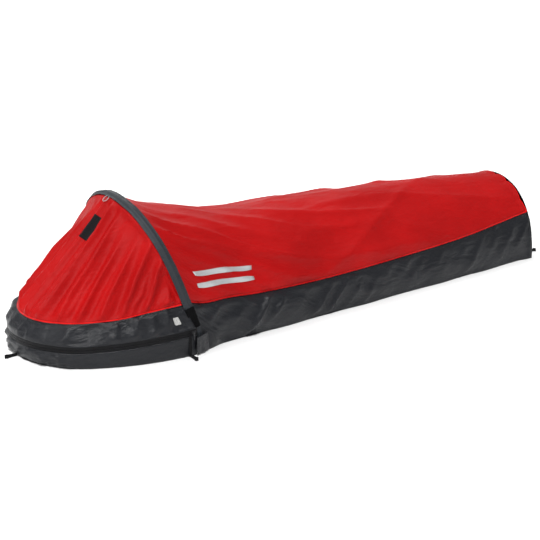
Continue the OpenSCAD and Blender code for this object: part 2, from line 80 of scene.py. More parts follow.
# ---------------------------------------------------------------- driving sizes
HEAD_X = -1.065
FOOT_X = 1.065
FOOT_SEAM_X = 1.033
FOOT_BULGE = 0.026
HOOP_X = -0.54
HOOP_HALF = 0.322
HOOP_HEIGHT = 0.49
HOOP_LEAN = 0.145
HOOP_BEND = 0.29
HOOP_RISE = math.hypot(HOOP_HEIGHT, HOOP_LEAN)
HOOP_ANGLE = math.atan2(HOOP_HEIGHT, HOOP_LEAN)
PANEL_EDGE = 0.013
ZIP_HEIGHT = 0.085
ZIP_SLOPE = math.radians(2.8)
PIVOT_X = HOOP_X - ZIP_HEIGHT * HOOP_LEAN / HOOP_HEIGHT
HEAD_RUN = (PIVOT_X - HEAD_X) / math.cos(ZIP_SLOPE)
ZIP_ARCH = (0.338, HEAD_RUN, 0.28)
HOOP_ARCH = (HOOP_HALF, HOOP_RISE, HOOP_BEND)
TAPE = 0.011
CLOTH_THICK = 0.0008
PAINTED_SEAM_WIDTH = 0.0050       # width of the strip of painted light along a seam: highlight on the red, shade on the charcoal
STITCH_ROW = 0.0078         # from the seam to the row of stitches
STITCH_WIDTH = 0.0004
STITCH_PITCH = 0.0042


# ---------------------------------------------------------------- arches and planes
def leg(a, b, r):
    """Radius of an arch's leg, and the turn at which its top arc starts."""
    radius = (a * a + b * b - 2 * b * r) / (2 * (a - r))
    return radius, np.arctan2(b - r, radius - a)


def arch_pt(q, arch, o=0.0):
    """(across, along) on a three-arc arch (half width, rise, top radius) at the normal's turn q."""
    a, b, r = arch
    radius, s = leg(a, b, r)
    low, high = q < s, q > math.pi - s
    across = np.where(low, a - radius + (radius + o) * np.cos(q),
                      np.where(high, radius - a + (radius + o) * np.cos(q), (r + o) * np.cos(q)))
    along = np.where(low | high, (radius + o) * np.sin(q), b - r + (r + o) * np.sin(q))
    return across, along


def arch_q(f, arch):
    """The normal's turn at the fraction f of an arch's length."""
    a, b, r = arch
    radius, s = leg(a, b, r)
    side, top = radius * s, r * (math.pi - 2 * s)
    at = f * (2 * side + top)
    return np.where(at < side, at / radius,
                    np.where(at > side + top, math.pi - (2 * side + top - at) / radius, s + (at - side) / r))


def arch_low(h, arch):
    """Fraction of an arch's length below height h on its leg."""
    a, b, r = arch
    radius, s = leg(a, b, r)
    return radius * np.arcsin(h / radius) / (2 * radius * s + r * (math.pi - 2 * s))


def on_plane(x, z, angle, along, across, up):
    """Point on a leaning plane through the Y direction that runs towards the head."""
    return np.stack(np.broadcast_arrays(
        x - along * np.cos(angle) + up * np.sin(angle), across,
        z + along * np.sin(angle) + up * np.cos(angle)), -1)


# ---------------------------------------------------------------- noise and folds
def noise(x, y, seed):
    """Smooth value noise from -1 to 1."""
    table = np.random.RandomState(seed).uniform(-1, 1, (64, 64))
    xi, yi = np.floor(x).astype(int), np.floor(y).astype(int)
    fx, fy = x - xi, y - yi
    sx, sy = fx * fx * (3 - 2 * fx), fy * fy * (3 - 2 * fy)
    t = lambda i, j: table[i % 64, j % 64]
    return ((t(xi, yi) * (1 - sx) + t(xi + 1, yi) * sx) * (1 - sy)
            + (t(xi, yi + 1) * (1 - sx) + t(xi + 1, yi + 1) * sx) * sy)


def ramp(x, a, b):
    """0 below a, 1 above b, smooth between them."""
    t = np.clip((x - a) / (b - a), 0, 1)
    return t * t * (3 - 2 * t)


def folds(across, along, seed, spacing, start, end, fade, width=0.2, wander=0.4):
    """Fold crests that run along one direction, each with its own start, end and height."""
    rng = np.random.RandomState(seed)
    phase = across / spacing + wander * noise(across / spacing * 0.7, along / (spacing * 3.5), seed + 1)
    number = np.floor(phase + 0.5).astype(int)
    pick = lambda low, high: rng.uniform(low, high, 512)[number % 512]
    d = phase - number
    height = pick(0.25, 1.0)
    begin, stop = pick(*start), pick(*end)
    window = ramp(along, begin - fade, begin + fade) * (1 - ramp(along, stop - fade, stop + fade))
    crest = np.exp((0.05 - np.sqrt(d * d + 0.0025)) / width)
    return height * crest * window


def crumple(u, v, seed, size, count=3):
    """Flat facets between sharp creases, as thin stiff cloth crumples."""
    total = np.zeros_like(u)
    for k in range(count):
        angle = (0.35, 1.35, 2.4, 0.9)[k % 4]
        c, s = math.cos(angle), math.sin(angle)
        a, b = u * c + v * s, v * c - u * s
        step = size * (1, 0.62, 0.4, 0.27)[k % 4]
        n = noise(a / step + 9.1 * k, b / (step * 1.7), seed + k)
        total += (1 - 2 * np.abs(n)) * (1, 0.6, 0.4, 0.25)[k % 4]
    return total / 2.2


# ---------------------------------------------------------------- grids to meshes
def normals(P):
    """Unit normals of a grid of points, by central differences."""
    n = np.cross(np.gradient(P, axis=0), np.gradient(P, axis=1))
    return n / np.maximum(np.linalg.norm(n, axis=-1, keepdims=True), 1e-12)


def grid_uv(P):
    """Distances along and across a grid in metres, for weave of the right scale."""
    du = np.linalg.norm(np.diff(P, axis=0), axis=-1)
    dv = np.linalg.norm(np.diff(P, axis=1), axis=-1)
    u = np.vstack([np.zeros((1, P.shape[1])), np.cumsum(np.repeat(du.mean(1)[:, None], P.shape[1], 1), 0)])
    v = np.hstack([np.zeros((P.shape[0], 1)), np.cumsum(np.repeat(dv.mean(0)[None], P.shape[0], 0), 1)])
    return np.stack([u, v], -1)


def grid_mesh(name, P, uv=None, outward=None, closed=False, edge=None):
    """A mesh object from a grid of points. outward is a point its faces turn away from."""
    n, m = P.shape[:2]
    i, j = np.meshgrid(np.arange(n - 1), np.arange(m - 1 + closed), indexing="ij")
    k = lambda a, b: (a * m + b % m).ravel()
    quads = np.stack([k(i, j), k(i + 1, j), k(i + 1, j + 1), k(i, j + 1)], 1)
    if outward is not None:
        centre = P.reshape(-1, 3)[quads].mean(1)
        face = np.cross(P.reshape(-1, 3)[quads[:, 2]] - P.reshape(-1, 3)[quads[:, 0]],
                        P.reshape(-1, 3)[quads[:, 3]] - P.reshape(-1, 3)[quads[:, 1]])
        if ((centre - np.array(outward)) * face).sum() < 0:
            quads = quads[:, ::-1]
    mesh = bpy.data.meshes.new(name)
    mesh.from_pydata(P.reshape(-1, 3).tolist(), [], quads.tolist())
    layer = mesh.uv_layers.new(name="UVMap")
    flat = (grid_uv(P) if uv is None else uv).reshape(-1, 2)
    index = np.zeros(len(mesh.loops), np.int32)
    mesh.loops.foreach_get("vertex_index", index)
    layer.data.foreach_set("uv", flat[index].astype(np.float32).ravel())
    if edge is not None:
        layer = mesh.uv_layers.new(name="Seam")
        seam = np.stack([edge, flat.reshape(n, m, 2)[..., 0]], -1).reshape(-1, 2)
        layer.data.foreach_set("uv", seam[index].astype(np.float32).ravel())
    mesh.shade_smooth()
    obj = bpy.data.objects.new(name, mesh)
    bpy.context.scene.collection.objects.link(obj)
    return obj


def grid_area(P):
    a = np.cross(P[1:, 1:] - P[:-1, :-1], P[1:, :-1] - P[:-1, 1:])
    return float(np.linalg.norm(a, axis=-1).sum() / 2)


def sample(P, u, v):
    """Points of a grid at fractions u, v by bilinear reading."""
    n, m = P.shape[0] - 1, P.shape[1] - 1
    a, b = np.clip(u, 0, 1) * n, np.clip(v, 0, 1) * m
    i, j = np.minimum(a.astype(int), n - 1), np.minimum(b.astype(int), m - 1)
    s, t = (a - i)[..., None], (b - j)[..., None]
    return ((P[i, j] * (1 - s) + P[i + 1, j] * s) * (1 - t)
            + (P[i, j + 1] * (1 - s) + P[i + 1, j + 1] * s) * t)


SHEETS = []


def cloth_piece(name, P, material, body=None, blend=None,
                outward=(0, 0, 0.15), thick=CLOTH_THICK, replaces=(), uv=None, edge=None):
    """One sheet of fabric from a grid: mesh, thickness, material, body, CAD nodes and its declaration."""
    edge = np.full(P.shape[:2], 1.0) if edge is None else edge
    obj = grid_mesh(name, P, uv, outward, edge=edge)
    obj.data.materials.append(material)
    if thick:
        solid = obj.modifiers.new("thickness", "SOLIDIFY")
        solid.thickness = thick
        solid.offset = -1
    if blend:
        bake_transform(obj)
    else:
        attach(obj, body)
    for n in replaces:
        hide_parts(n)
    area = grid_area(P)
    width = float(np.linalg.norm(np.diff(P, axis=1), axis=-1).sum(1).max())
    length = float(np.linalg.norm(np.diff(P, axis=0), axis=-1).sum(0).max())
    cut = (max(0.01, round(width, 3)), round(length, 3))
    SHEETS.append([name, cut, round(area, 4)])
    return obj


# ---------------------------------------------------------------- materials
def new_material(name, colour, rough, **sockets):
    mat = bpy.data.materials.new(name)
    mat.use_nodes = True
    nt = mat.node_tree
    shader = nt.nodes["Principled BSDF"]
    shader.inputs["Base Color"].default_value = (*colour, 1)
    shader.inputs["Roughness"].default_value = rough
    for key, value in sockets.items():
        shader.inputs[key.replace("_", " ")].default_value = value
    return mat, nt, shader


def math_node(nt, op, a, b=0.0):
    n = nt.nodes.new("ShaderNodeMath")
    n.operation = op
    for k, v in enumerate((a, b)):
        if isinstance(v, (int, float)):
            n.inputs[k].default_value = v
        else:
            nt.links.new(v, n.inputs[k])
    return n.outputs[0]


def uv_coords(nt, scale=(1, 1, 1), turn=0.0):
    uv = nt.nodes.new("ShaderNodeUVMap")
    uv.uv_map = "UVMap"
    m = nt.nodes.new("ShaderNodeMapping")
    m.inputs["Scale"].default_value = scale
    m.inputs["Rotation"].default_value = (0, 0, turn)
    nt.links.new(uv.outputs[0], m.inputs[0])
    return m.outputs[0]


def noise_tex(nt, vector, scale, detail=3.0, kind="FBM", rough=0.5, distortion=0.0):
    n = nt.nodes.new("ShaderNodeTexNoise")
    n.noise_type = kind
    n.normalize = True
    n.inputs["Scale"].default_value = scale
    n.inputs["Detail"].default_value = detail
    n.inputs["Roughness"].default_value = rough
    n.inputs["Distortion"].default_value = distortion
    nt.links.new(vector, n.inputs["Vector"])
    return n.outputs[0]


def voronoi_edges(nt, vector, scale):
    n = nt.nodes.new("ShaderNodeTexVoronoi")
    n.feature = "DISTANCE_TO_EDGE"
    n.inputs["Scale"].default_value = scale
    nt.links.new(vector, n.inputs["Vector"])
    return n.outputs["Distance"]


def weave(nt, pitch):
    """Height of a plain weave with that thread pitch in metres, from the piece's own flat coordinates."""
    sep = nt.nodes.new("ShaderNodeSeparateXYZ")
    nt.links.new(uv_coords(nt), sep.inputs[0])
    k = 2 * math.pi / pitch / 2
    a = math_node(nt, "SINE", math_node(nt, "MULTIPLY", sep.outputs[0], k))
    b = math_node(nt, "SINE", math_node(nt, "MULTIPLY", sep.outputs[1], k))
    return math_node(nt, "MULTIPLY", a, b)


def ripstop(nt, cell, line):
    """1 on a fine square grid of thicker threads."""
    sep = nt.nodes.new("ShaderNodeSeparateXYZ")
    nt.links.new(uv_coords(nt), sep.inputs[0])
    out = []
    for k in (0, 1):
        at = math_node(nt, "FRACT", math_node(nt, "DIVIDE", sep.outputs[k], cell))
        out.append(math_node(nt, "LESS_THAN", at, line / cell))
    return math_node(nt, "MAXIMUM", out[0], out[1])


def bump(nt, shader, heights):
    """Chains bump nodes: heights is a list of (height socket, distance in metres, strength)."""
    last = None
    for socket, distance, strength in heights:
        b = nt.nodes.new("ShaderNodeBump")
        b.inputs["Distance"].default_value = distance
        b.inputs["Strength"].default_value = strength
        nt.links.new(socket, b.inputs["Height"])
        if last is not None:
            nt.links.new(last, b.inputs["Normal"])
        last = b.outputs[0]
    nt.links.new(last, shader.inputs["Normal"])


def tint(nt, shader, colour, factor, dark, light):
    """Colour that varies with a factor between a darker and a lighter shade of itself."""
    r = nt.nodes.new("ShaderNodeValToRGB")
    r.color_ramp.elements[0].position = 0.3
    r.color_ramp.elements[1].position = 0.7
    r.color_ramp.elements[0].color = (*[c * dark for c in colour], 1)
    r.color_ramp.elements[1].color = (*[min(1, c * light) for c in colour], 1)
    nt.links.new(factor, r.inputs[0])
    nt.links.new(r.outputs[0], shader.inputs["Base Color"])


def seam_marks(nt, shader, colour, painted_seam_tone):
    """A strip of painted light along the piece's seam edge, a painted highlight on the red and painted shade on
    the darker cloth, and a row of stitches beside it.
    """
    uv = nt.nodes.new("ShaderNodeUVMap")
    uv.uv_map = "Seam"
    sep = nt.nodes.new("ShaderNodeSeparateXYZ")
    nt.links.new(uv.outputs[0], sep.inputs[0])
    # mask of the strip of painted light next to the seam: highlight on the red, shade on the charcoal
    painted_seam_mask = math_node(nt, "LESS_THAN", sep.outputs[0], PAINTED_SEAM_WIDTH)
    off_row = math_node(nt, "ABSOLUTE", math_node(nt, "SUBTRACT", sep.outputs[0], STITCH_ROW))
    beside = math_node(nt, "LESS_THAN", off_row, STITCH_WIDTH)
    along = math_node(nt, "FRACT", math_node(nt, "DIVIDE", sep.outputs[1], STITCH_PITCH))
    dash = math_node(nt, "LESS_THAN", along, 0.65)
    stitch = math_node(nt, "MULTIPLY", beside, dash)
    base = shader.inputs["Base Color"].links[0].from_socket
    for mask, mark_colour in ((painted_seam_mask, painted_seam_tone), (stitch, [c * 0.35 for c in colour])):
        mix = nt.nodes.new("ShaderNodeMix")
        mix.data_type = "RGBA"
        nt.links.new(mask, mix.inputs[0])
        nt.links.new(base, mix.inputs[6])
        mix.inputs[7].default_value = (*mark_colour, 1)
        base = mix.outputs[2]
    nt.links.new(base, shader.inputs["Base Color"])
    return math_node(nt, "SUBTRACT", painted_seam_mask, stitch)


def coated_cloth(name, colour, rough, crease, crinkle, grid=True, painted_seam_tone=None, **sockets):
    """Thin coated nylon: weave, ripstop grid, soft creases, faint colour variation, and painted light along the
    seam edge.
    """
    mat, nt, shader = new_material(name, colour, rough, **sockets)
    flat = uv_coords(nt)
    soft = noise_tex(nt, uv_coords(nt, (1, 2.2, 1), 0.25), 9, 4, "FBM", 0.55, 0.6)
    sharp = noise_tex(nt, uv_coords(nt, (1, 1.6, 1), -0.5), 16, 3, "RIDGED_MULTIFRACTAL", 0.5, 0.4)
    facets = voronoi_edges(nt, uv_coords(nt, (1, 1.5, 1), 0.6), 26)
    heights = [(soft, 0.010, crease), (sharp, 0.003, crinkle),
               (math_node(nt, "MINIMUM", facets, 0.25), 0.006, crinkle)]
    if grid:
        heights.append((ripstop(nt, 0.005, 0.0005), 0.0003, 0.4))
    heights.append((weave(nt, 0.0005), 0.0002, 0.35))
    tint(nt, shader, colour, noise_tex(nt, flat, 5, 5), 0.88, 1.12)
    # paints light along the seam: a painted highlight on the red, painted shade on the darker cloth
    heights.append((seam_marks(nt, shader, colour, painted_seam_tone or colour), 0.0008, 0.7))
    bump(nt, shader, heights)
    return mat


# The last colour in each of these three is painted along the seams: a lighter red as a painted highlight on the
# red seam edges, darker greys as painted shade on the charcoal and sleeve cloth.
RED = coated_cloth("red_shell", (0.395, 0.0045, 0.0050), 0.42, 0.60, 0.14, True, (0.72, 0.008, 0.008),
                   Specular_IOR_Level=0.10)
CHARCOAL = coated_cloth("charcoal_shell", (0.0105, 0.0115, 0.0145), 0.33, 0.8, 0.28, True,
                        (0.004, 0.006, 0.008), Specular_IOR_Level=0.30)
SLEEVE = coated_cloth("sleeve_cloth", (0.028, 0.032, 0.038), 0.5, 0.2, 0.12, False, (0.006, 0.010, 0.013),
                      Specular_IOR_Level=0.22)


def webbing_material(name, colour, pitch=0.0014):
    mat, nt, shader = new_material(name, colour, 0.75, Specular_IOR_Level=0.15)
    bump(nt, shader, [(weave(nt, pitch), 0.0006, 0.8),
                      (noise_tex(nt, uv_coords(nt), 60, 4), 0.001, 0.3)])
    tint(nt, shader, colour, noise_tex(nt, uv_coords(nt), 220, 3), 0.7, 1.25)
    return mat


def tape_material():
    colour = (0.004, 0.004, 0.005)
    mat, nt, shader = new_material("zip_tape_cloth", colour, 0.5, Specular_IOR_Level=0.16)
    bump(nt, shader, [(weave(nt, 0.0009), 0.0004, 0.6),
                      (noise_tex(nt, uv_coords(nt, (1, 0.3, 1)), 40, 3), 0.003, 0.3)])
    tint(nt, shader, colour, noise_tex(nt, uv_coords(nt), 30, 3), 0.7, 1.4)
    return mat


def hard_material(name, colour, rough, metal=0.0, grain=900, depth=0.0002):
    mat, nt, shader = new_material(name, colour, rough, Metallic=metal)
    where = nt.nodes.new("ShaderNodeTexCoord")
    grit = noise_tex(nt, where.outputs["Object"], grain, 3)
    bump(nt, shader, [(grit, depth, 0.5)])
    tint(nt, shader, colour, noise_tex(nt, where.outputs["Object"], 60, 4), 0.85, 1.15)
    return mat


def pile_material(name, colour):
    mat, nt, shader = new_material(name, colour, 0.95, Specular_IOR_Level=0.05)
    bump(nt, shader, [(noise_tex(nt, uv_coords(nt), 1400, 3), 0.0012, 1.0)])
    tint(nt, shader, colour, noise_tex(nt, uv_coords(nt), 500, 3), 0.5, 1.6)
    return mat


def mesh_material():
    """Open insect mesh: fine threads with holes between them."""
    colour = (0.02, 0.02, 0.022)
    mat, nt, shader = new_material("insect_mesh", colour, 0.7)
    sep = nt.nodes.new("ShaderNodeSeparateXYZ")
    nt.links.new(uv_coords(nt), sep.inputs[0])
    threads = []
    for k in (0, 1):
        at = math_node(nt, "FRACT", math_node(nt, "DIVIDE", sep.outputs[k], 0.0012))
        threads.append(math_node(nt, "LESS_THAN", at, 0.32))
    nt.links.new(math_node(nt, "MAXIMUM", threads[0], threads[1]), shader.inputs["Alpha"])
    tint(nt, shader, colour, noise_tex(nt, uv_coords(nt), 40, 3), 0.8, 1.3)
    return mat


def reflective_material():
    colour = (0.50, 0.52, 0.53)
    mat, nt, shader = new_material("reflective_print", colour, 0.35, Metallic=0.3)
    bump(nt, shader, [(weave(nt, 0.0006), 0.0002, 0.4),
                      (noise_tex(nt, uv_coords(nt), 18, 3), 0.004, 0.3)])
    tint(nt, shader, colour, noise_tex(nt, uv_coords(nt), 300, 3), 0.9, 1.1)
    return mat


WEBBING = webbing_material("webbing_cloth", (0.008, 0.008, 0.009))
ELASTIC = webbing_material("elastic_cord", (0.6, 0.6, 0.58), 0.001)
CORD = webbing_material("guy_cord", (0.42, 0.43, 0.44), 0.001)
TAPE_CLOTH = tape_material()
COIL = hard_material("zip_coil_plastic", (0.014, 0.014, 0.015), 0.4)
SLIDER = hard_material("slider_paint", (0.02, 0.02, 0.022), 0.35, 0.6)
PULL = hard_material("pull_moulding", (0.02, 0.02, 0.022), 0.6)
ACETAL = hard_material("pole_acetal", (0.7, 0.7, 0.66), 0.45)
METAL = hard_material("ferrule_aluminium", (0.75, 0.75, 0.77), 0.3, 1.0)
TIP = hard_material("tip_plastic", (0.02, 0.02, 0.02), 0.55)
PILE = pile_material("hook_and_loop_pile", (0.005, 0.005, 0.0055))
MESH = mesh_material()
REFLECT = reflective_material()
DARK_PATCH = webbing_material("dark_patch_cloth", (0.012, 0.012, 0.014), 0.0012)
LABEL = webbing_material("label_cloth", (0.62, 0.62, 0.60), 0.0008)

# ---------------------------------------------------------------- body of the sack
BODY_START = HOOP_X + PANEL_EDGE * math.sin(HOOP_ANGLE)
STATIONS = np.array([
    [BODY_START, 0.321, HOOP_RISE - 0.001, 0.289, math.pi / 2 - HOOP_ANGLE, 0.186],
    [-0.475, 0.314, 0.452, 0.280, math.radians(12), 0.162],
    [-0.390, 0.308, 0.418, 0.268, math.radians(8), 0.155],
    [-0.270, 0.304, 0.375, 0.258, math.radians(3), 0.141],
    [0.0, 0.295, 0.357, 0.248, 0, 0.132],
    [0.350, 0.281, 0.335, 0.234, 0, 0.136],
    [0.700, 0.267, 0.315, 0.220, 0, 0.148],
    [FOOT_SEAM_X, 0.245, 0.289, 0.230, math.radians(-3.5), 0.175],
])


def body_value(x, c):
    """A station's value at any base x, eased between the stations."""
    S, last = STATIONS, len(STATIONS) - 1
    slope = lambda k: ((S[np.minimum(k + 1, last), c] - S[np.maximum(k - 1, 0), c])
                       / (S[np.minimum(k + 1, last), 0] - S[np.maximum(k - 1, 0), 0]))
    k = np.clip(np.searchsorted(S[:, 0], x, side="right") - 1, 0, last - 1)
    x0 = S[k, 0]
    d = S[k + 1, 0] - x0
    t = (x - x0) / d
    return ((2 * t**3 - 3 * t**2 + 1) * S[k, c] + (t**3 - 2 * t**2 + t) * d * slope(k)
            + (3 * t**2 - 2 * t**3) * S[k + 1, c] + (t**3 - t**2) * d * slope(k + 1))


def body_arch(x):
    return body_value(x, 1), body_value(x, 2), body_value(x, 3)


def body_pt(x, f, o=0.0):
    arch = body_arch(x)
    across, along = arch_pt(arch_q(f, arch), arch, o)
    return on_plane(x, 0, math.pi / 2 - body_value(x, 4), along, -across, 0)


NX = 196
TUB_ROWS, TOP_ROWS = 24, 84
step = np.linspace(0, 1, NX)
body_x = BODY_START + (FOOT_SEAM_X - BODY_START) * (0.75 * step + 0.25 * step**2)
seam_f = arch_low(body_value(body_x, 5), body_arch(body_x))
tub_part = np.linspace(0, 1, TUB_ROWS + 1)[None] * seam_f[:, None]
top_part = seam_f[:, None] + (1 - 2 * seam_f[:, None]) * np.linspace(0, 1, TOP_ROWS + 1)[None]
body_f = np.hstack([tub_part[:, :-1], top_part, 1 - tub_part[:, -2::-1]])
X = np.repeat(body_x[:, None], body_f.shape[1], 1)
body = body_pt(X, body_f, 0.001)
round_it = np.linalg.norm(np.diff(body, axis=1), axis=-1).sum(1)
S = (body_f - 0.5) * round_it[:, None]          # distance from the ridge, right side negative
D = X - BODY_START                              # distance from the hoop
from_seam = (np.minimum(body_f, 1 - body_f) - seam_f[:, None]) * round_it[:, None]
on_top = ramp(from_seam, 0.0, 0.03)
on_tub = ramp(-from_seam, 0.0, 0.02)

side = np.abs(S)
side_s = side + 0.05 * noise(D / 0.5, np.sign(S) * 3.3, 7)
h = 0.021 * folds(side_s - 0.27 * D, D, 11, 0.074, (-0.08, 0.01), (0.3, 0.95), 0.10, 0.17, 0.25) * on_top
h += 0.014 * folds(side_s - 0.10 * D + 0.3, D, 23, 0.105, (0.0, 0.8), (0.6, 1.6), 0.18, 0.16, 0.3) * on_top
h += 0.011 * folds(S + 0.36 * D, D, 37, 0.150, (0.4, 1.2), (0.7, 1.6), 0.10, 0.16, 0.3) * on_top
h += 0.011 * folds(S - 0.55 * D + 1, D, 41, 0.170, (0.3, 1.2), (0.6, 1.6), 0.10, 0.14, 0.3) * on_top
h += 0.005 * noise(D / 0.2, S / 0.12, 53) * on_top
h += 0.003 * crumple(D, S, 61, 0.13) * on_top * ramp(noise(D / 0.25, S / 0.2, 63), -0.1, 0.5)
near = 1 - ramp(D, 0.35, 1.1)
h += (0.006 + 0.008 * near) * crumple(D, S * 1.2, 71, 0.13, 4) * on_tub
h += (0.007 + 0.009 * near) * on_tub * folds(
    D - 0.9 * from_seam, -from_seam, 83, 0.095, (-0.02, 0.05), (0.05, 0.2), 0.03, 0.16, 0.5)
h -= 0.0020 * np.exp(-((from_seam + 0.004) / 0.005) ** 2)
h += 0.003 * noise(D / 0.06, 0 * D + 2.5, 91) * np.exp(-(from_seam / 0.03) ** 2)
h = (h - 0.0055) * (0.45 + 0.55 * ramp(side, 0.01, 0.12))
HEM_TUCK, TUCK_REACH, TUCK_ENDS = 0.011, 0.030, 0.08
up_wall = np.minimum(body_f, 1 - body_f) * round_it[:, None]
tuck = np.exp(-(up_wall / TUCK_REACH) ** 2)
tuck *= HEM_TUCK + 0.004 * noise(D / 0.12, np.sign(S) * 5.1, 95)
tuck *= ramp(D, 0, TUCK_ENDS) * (1 - ramp(D, D.max() - TUCK_ENDS, D.max()))
held = np.minimum(1, np.minimum(D / 0.03, (D.max() - D) / 0.02))
ground = ramp(up_wall, 0.0, 0.03)
body = body + normals(body) * (h * held * ground)[..., None]
body[..., 1] -= np.sign(body[..., 1]) * tuck
gather = np.abs(np.sin(math.pi * S / 0.088 + 0.8 * noise(S / 0.1, 0 * S, 97))) ** 0.6
to_foot = ramp(D, D.max() - 0.07, D.max()) * on_top
body[..., 0] += (0.006 * gather - 0.012) * to_foot
body[..., 1] *= 1 + (0.012 * gather - 0.008) * to_foot
body[..., 2] *= 1 + (0.018 * gather - 0.012) * to_foot

body[..., 2] = np.maximum(body[..., 2], 0.0008)

T0, T1 = TUB_ROWS, TUB_ROWS + TOP_ROWS
body_uv = np.stack([D, S + 1.0], -1)
seam_gap = np.minimum(np.abs(from_seam), D.max() - D + 0.001)
cloth_piece("top_panel_cloth", body[:, T0:T1 + 1], RED, "shell",
            replaces=["top_panel"], uv=body_uv[:, T0:T1 + 1], edge=seam_gap[:, T0:T1 + 1])
cloth_piece("tub_wall_right_cloth", body[:, :T0 + 1], CHARCOAL, "shell",
            replaces=["tub_wall_right"], uv=body_uv[:, :T0 + 1],
            edge=seam_gap[:, :T0 + 1])
cloth_piece("tub_wall_left_cloth", body[:, T1:], CHARCOAL, "shell",
            replaces=["tub_wall_left"], uv=body_uv[:, T1:], edge=seam_gap[:, T1:])
strip_x = np.linspace(FOOT_SEAM_X - 0.030, FOOT_SEAM_X, 6)[:, None]
strip_f = np.linspace(0.08, 0.92, 90)[None]
strip = body_pt(strip_x + 0 * strip_f, strip_f + 0 * strip_x, -0.011)
cloth_piece("foot_gather_strip", strip, CHARCOAL, "shell")

# ---------------------------------------------------------------- foot panel
across = np.sin(np.linspace(-1, 1, 72) * math.pi / 2)[:, None]
up = np.sin(np.linspace(0, 1, 40) * math.pi / 2)[None]
foot_arch = tuple(STATIONS[-1, 1:4])


def arch_width(hh, arch):
    a, b, r = arch
    radius, s = leg(a, b, r)
    return np.where(hh < radius * np.sin(s), a - radius + np.sqrt(np.maximum(radius**2 - hh**2, 0)),
                    np.sqrt(np.maximum(r * r - (hh - (b - r)) ** 2, 0)))


bulge = np.sqrt(np.maximum(0, 1 - np.abs(across) ** 4)) * np.sqrt(np.maximum(0, 1 - up**6))
foot = on_plane(FOOT_SEAM_X + FOOT_BULGE * bulge, 0, math.pi / 2 - float(STATIONS[-1, 4]),
                up * foot_arch[1] + 0 * across, across * arch_width(up * foot_arch[1], foot_arch), 0)
fy, fz = foot[..., 1], foot[..., 2]
edge = ramp(bulge, 0.05, 0.35)
foot = foot - normals(foot) * (edge * (0.004 * crumple(fy, fz, 131, 0.08, 4)))[..., None]
cloth_piece("foot_panel_cloth", foot, CHARCOAL, "shell",
            replaces=["foot_panel"])

# ---------------------------------------------------------------- hood
SEAM_RISE = 0.186
SEAM_SLOPE = math.radians(5)
HOOD_SAG = 0.012
HOOD_DRAW = 0.3
seam_start = on_plane(HOOP_X, 0, HOOP_ANGLE, SEAM_RISE, 0.0, -PANEL_EDGE)
SEAM_NOSE_INSET, SEAM_NOSE_RADIUS = 0.032, 0.22
SEAM_ARCH = (float(arch_width(SEAM_RISE, HOOP_ARCH)) - 0.001,
             (float(seam_start[0]) - HEAD_X - SEAM_NOSE_INSET) / math.cos(SEAM_SLOPE), SEAM_NOSE_RADIUS)


def zip_wave(t):
    """How far the zip's line wanders up and out, none where the sliders travel."""
    free = ramp(t, 0.30, 0.38) * (1 - ramp(t, 0.62, 0.70))
    return free * 0.0035 * noise(t * 9, 0 * t, 201), free * 0.003 * noise(t * 11, 0 * t, 203)


def hood_low(t, o=0.0, lift=TAPE + 0.0005):
    up, out = zip_wave(t)
    p, q = arch_pt(arch_q(0.006 + 0.988 * t, ZIP_ARCH), ZIP_ARCH, o + out)
    return on_plane(PIVOT_X, ZIP_HEIGHT, -ZIP_SLOPE, q, -p, lift + up)


def hood_seam(t, o=0.0):
    wave = 0.004 * noise(t * 10, 0 * t, 205) * ramp(t, 0, 0.06) * (1 - ramp(t, 0.94, 1))
    p, q = arch_pt(arch_q(t, SEAM_ARCH), SEAM_ARCH, o)
    return on_plane(float(seam_start[0]), float(seam_start[2]), -SEAM_SLOPE, q, -p, wave)


def hood_high(t, o=0.0):
    low = arch_low(SEAM_RISE + 0.008, HOOP_ARCH)
    drawn = t + HOOD_DRAW * np.sin(2 * math.pi * t) / (2 * math.pi)
    p, q = arch_pt(arch_q(low + (1 - 2 * low) * drawn, HOOP_ARCH), HOOP_ARCH, o - 0.001)
    return on_plane(HOOP_X, 0, HOOP_ANGLE, q, -p, -PANEL_EDGE)


NT, BAND_ROWS, HOOD_ROWS = 180, 14, 52
t = np.linspace(0, 1, NT)[:, None]
s_red = np.linspace(0, 1, HOOD_ROWS + 1)[None, :, None]
s_band = np.linspace(0, 1, BAND_ROWS + 1)[None, :, None]
seam_line, hoop_line, zip_line = (edge_of(t[:, 0])[:, None] for edge_of in (hood_seam, hood_high, hood_low))
red_part = seam_line * (1 - s_red) + hoop_line * s_red
band_part = zip_line * (1 - s_band) + seam_line * s_band
hood = np.concatenate([band_part[:, :-1], red_part], 1)
along = np.linalg.norm(np.diff(hood, axis=1), axis=-1)
up_hood = np.hstack([np.zeros((NT, 1)), np.cumsum(along, 1)])
up_hood -= up_hood[:, BAND_ROWS][:, None]       # distance up from the band seam
T = t * 1.28 + 0 * up_hood                      # distance round the band seam
mid = (t - 0.5) + 0 * up_hood
share_up = np.clip(up_hood / up_hood[:, -1][:, None], 0, 1)
on_red = ramp(up_hood, 0.0, 0.03)
on_band = ramp(-up_hood, 0.0, 0.015)
lean_in = T + 0.28 * np.sign(mid) * (1 - np.abs(2 * mid)) * share_up * np.abs(2 * mid)
g = 0.029 * folds(T, share_up, 301, 0.080, (-0.6, -0.1), (0.6, 1.4), 0.22, 0.19, 0.12) * on_red
g += 0.015 * folds(T + 0.5, share_up, 311, 0.050, (-0.5, 0.15), (0.25, 0.8), 0.18, 0.22, 0.1) * on_red
g += 0.008 * on_red * folds(
    T - 0.22 * up_hood + 0.7, share_up, 321, 0.130, (0.0, 0.5), (0.5, 1.2), 0.18, 0.2, 0.1)
g += 0.003 * noise(T / 0.10, up_hood / 0.14, 331) * on_red
